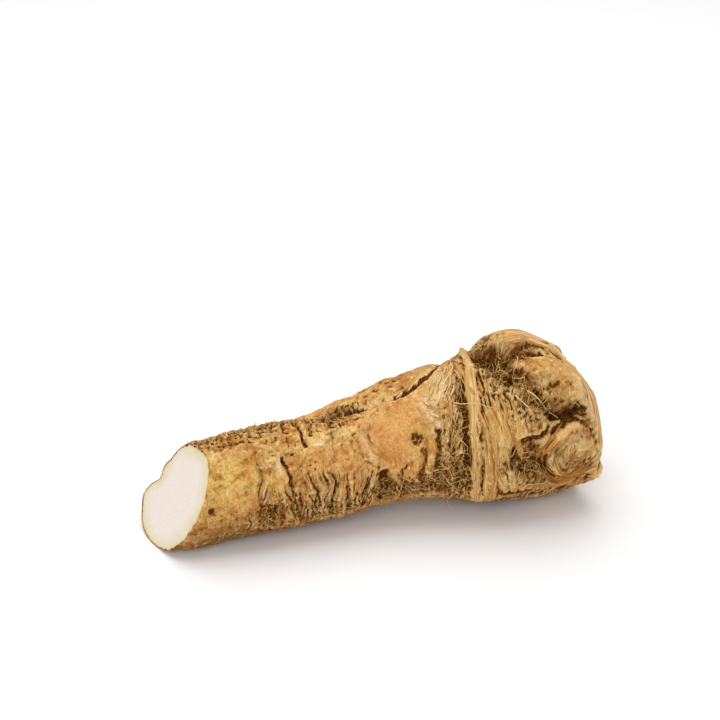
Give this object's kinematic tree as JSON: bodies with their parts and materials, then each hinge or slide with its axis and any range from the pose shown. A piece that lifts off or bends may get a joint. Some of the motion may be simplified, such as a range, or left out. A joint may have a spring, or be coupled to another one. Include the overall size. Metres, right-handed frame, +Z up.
{
  "type": "horseradish root",
  "caption": "Whole horseradish root lying on its side: a thick ringed shank cut at a slant at its thin end, a fused side root along its back, and a wide fibrous crown with a bud.",
  "frame": {"origin": "centre of the root's box in X and Y, on the surface it rests on", "axes": "+X along the root from the cut face to the crown, +Z up, and -Y towards the side that the picture shows"},
  "size_m": [0.1912, 0.07, 0.0746],
  "materials": {
    "skin": "matt, fibrous",
    "flesh": "damp, smooth"
  },
  "bodies": {
    "root": {"horseradish_root": "skin"}
  },
  "joints": []
}
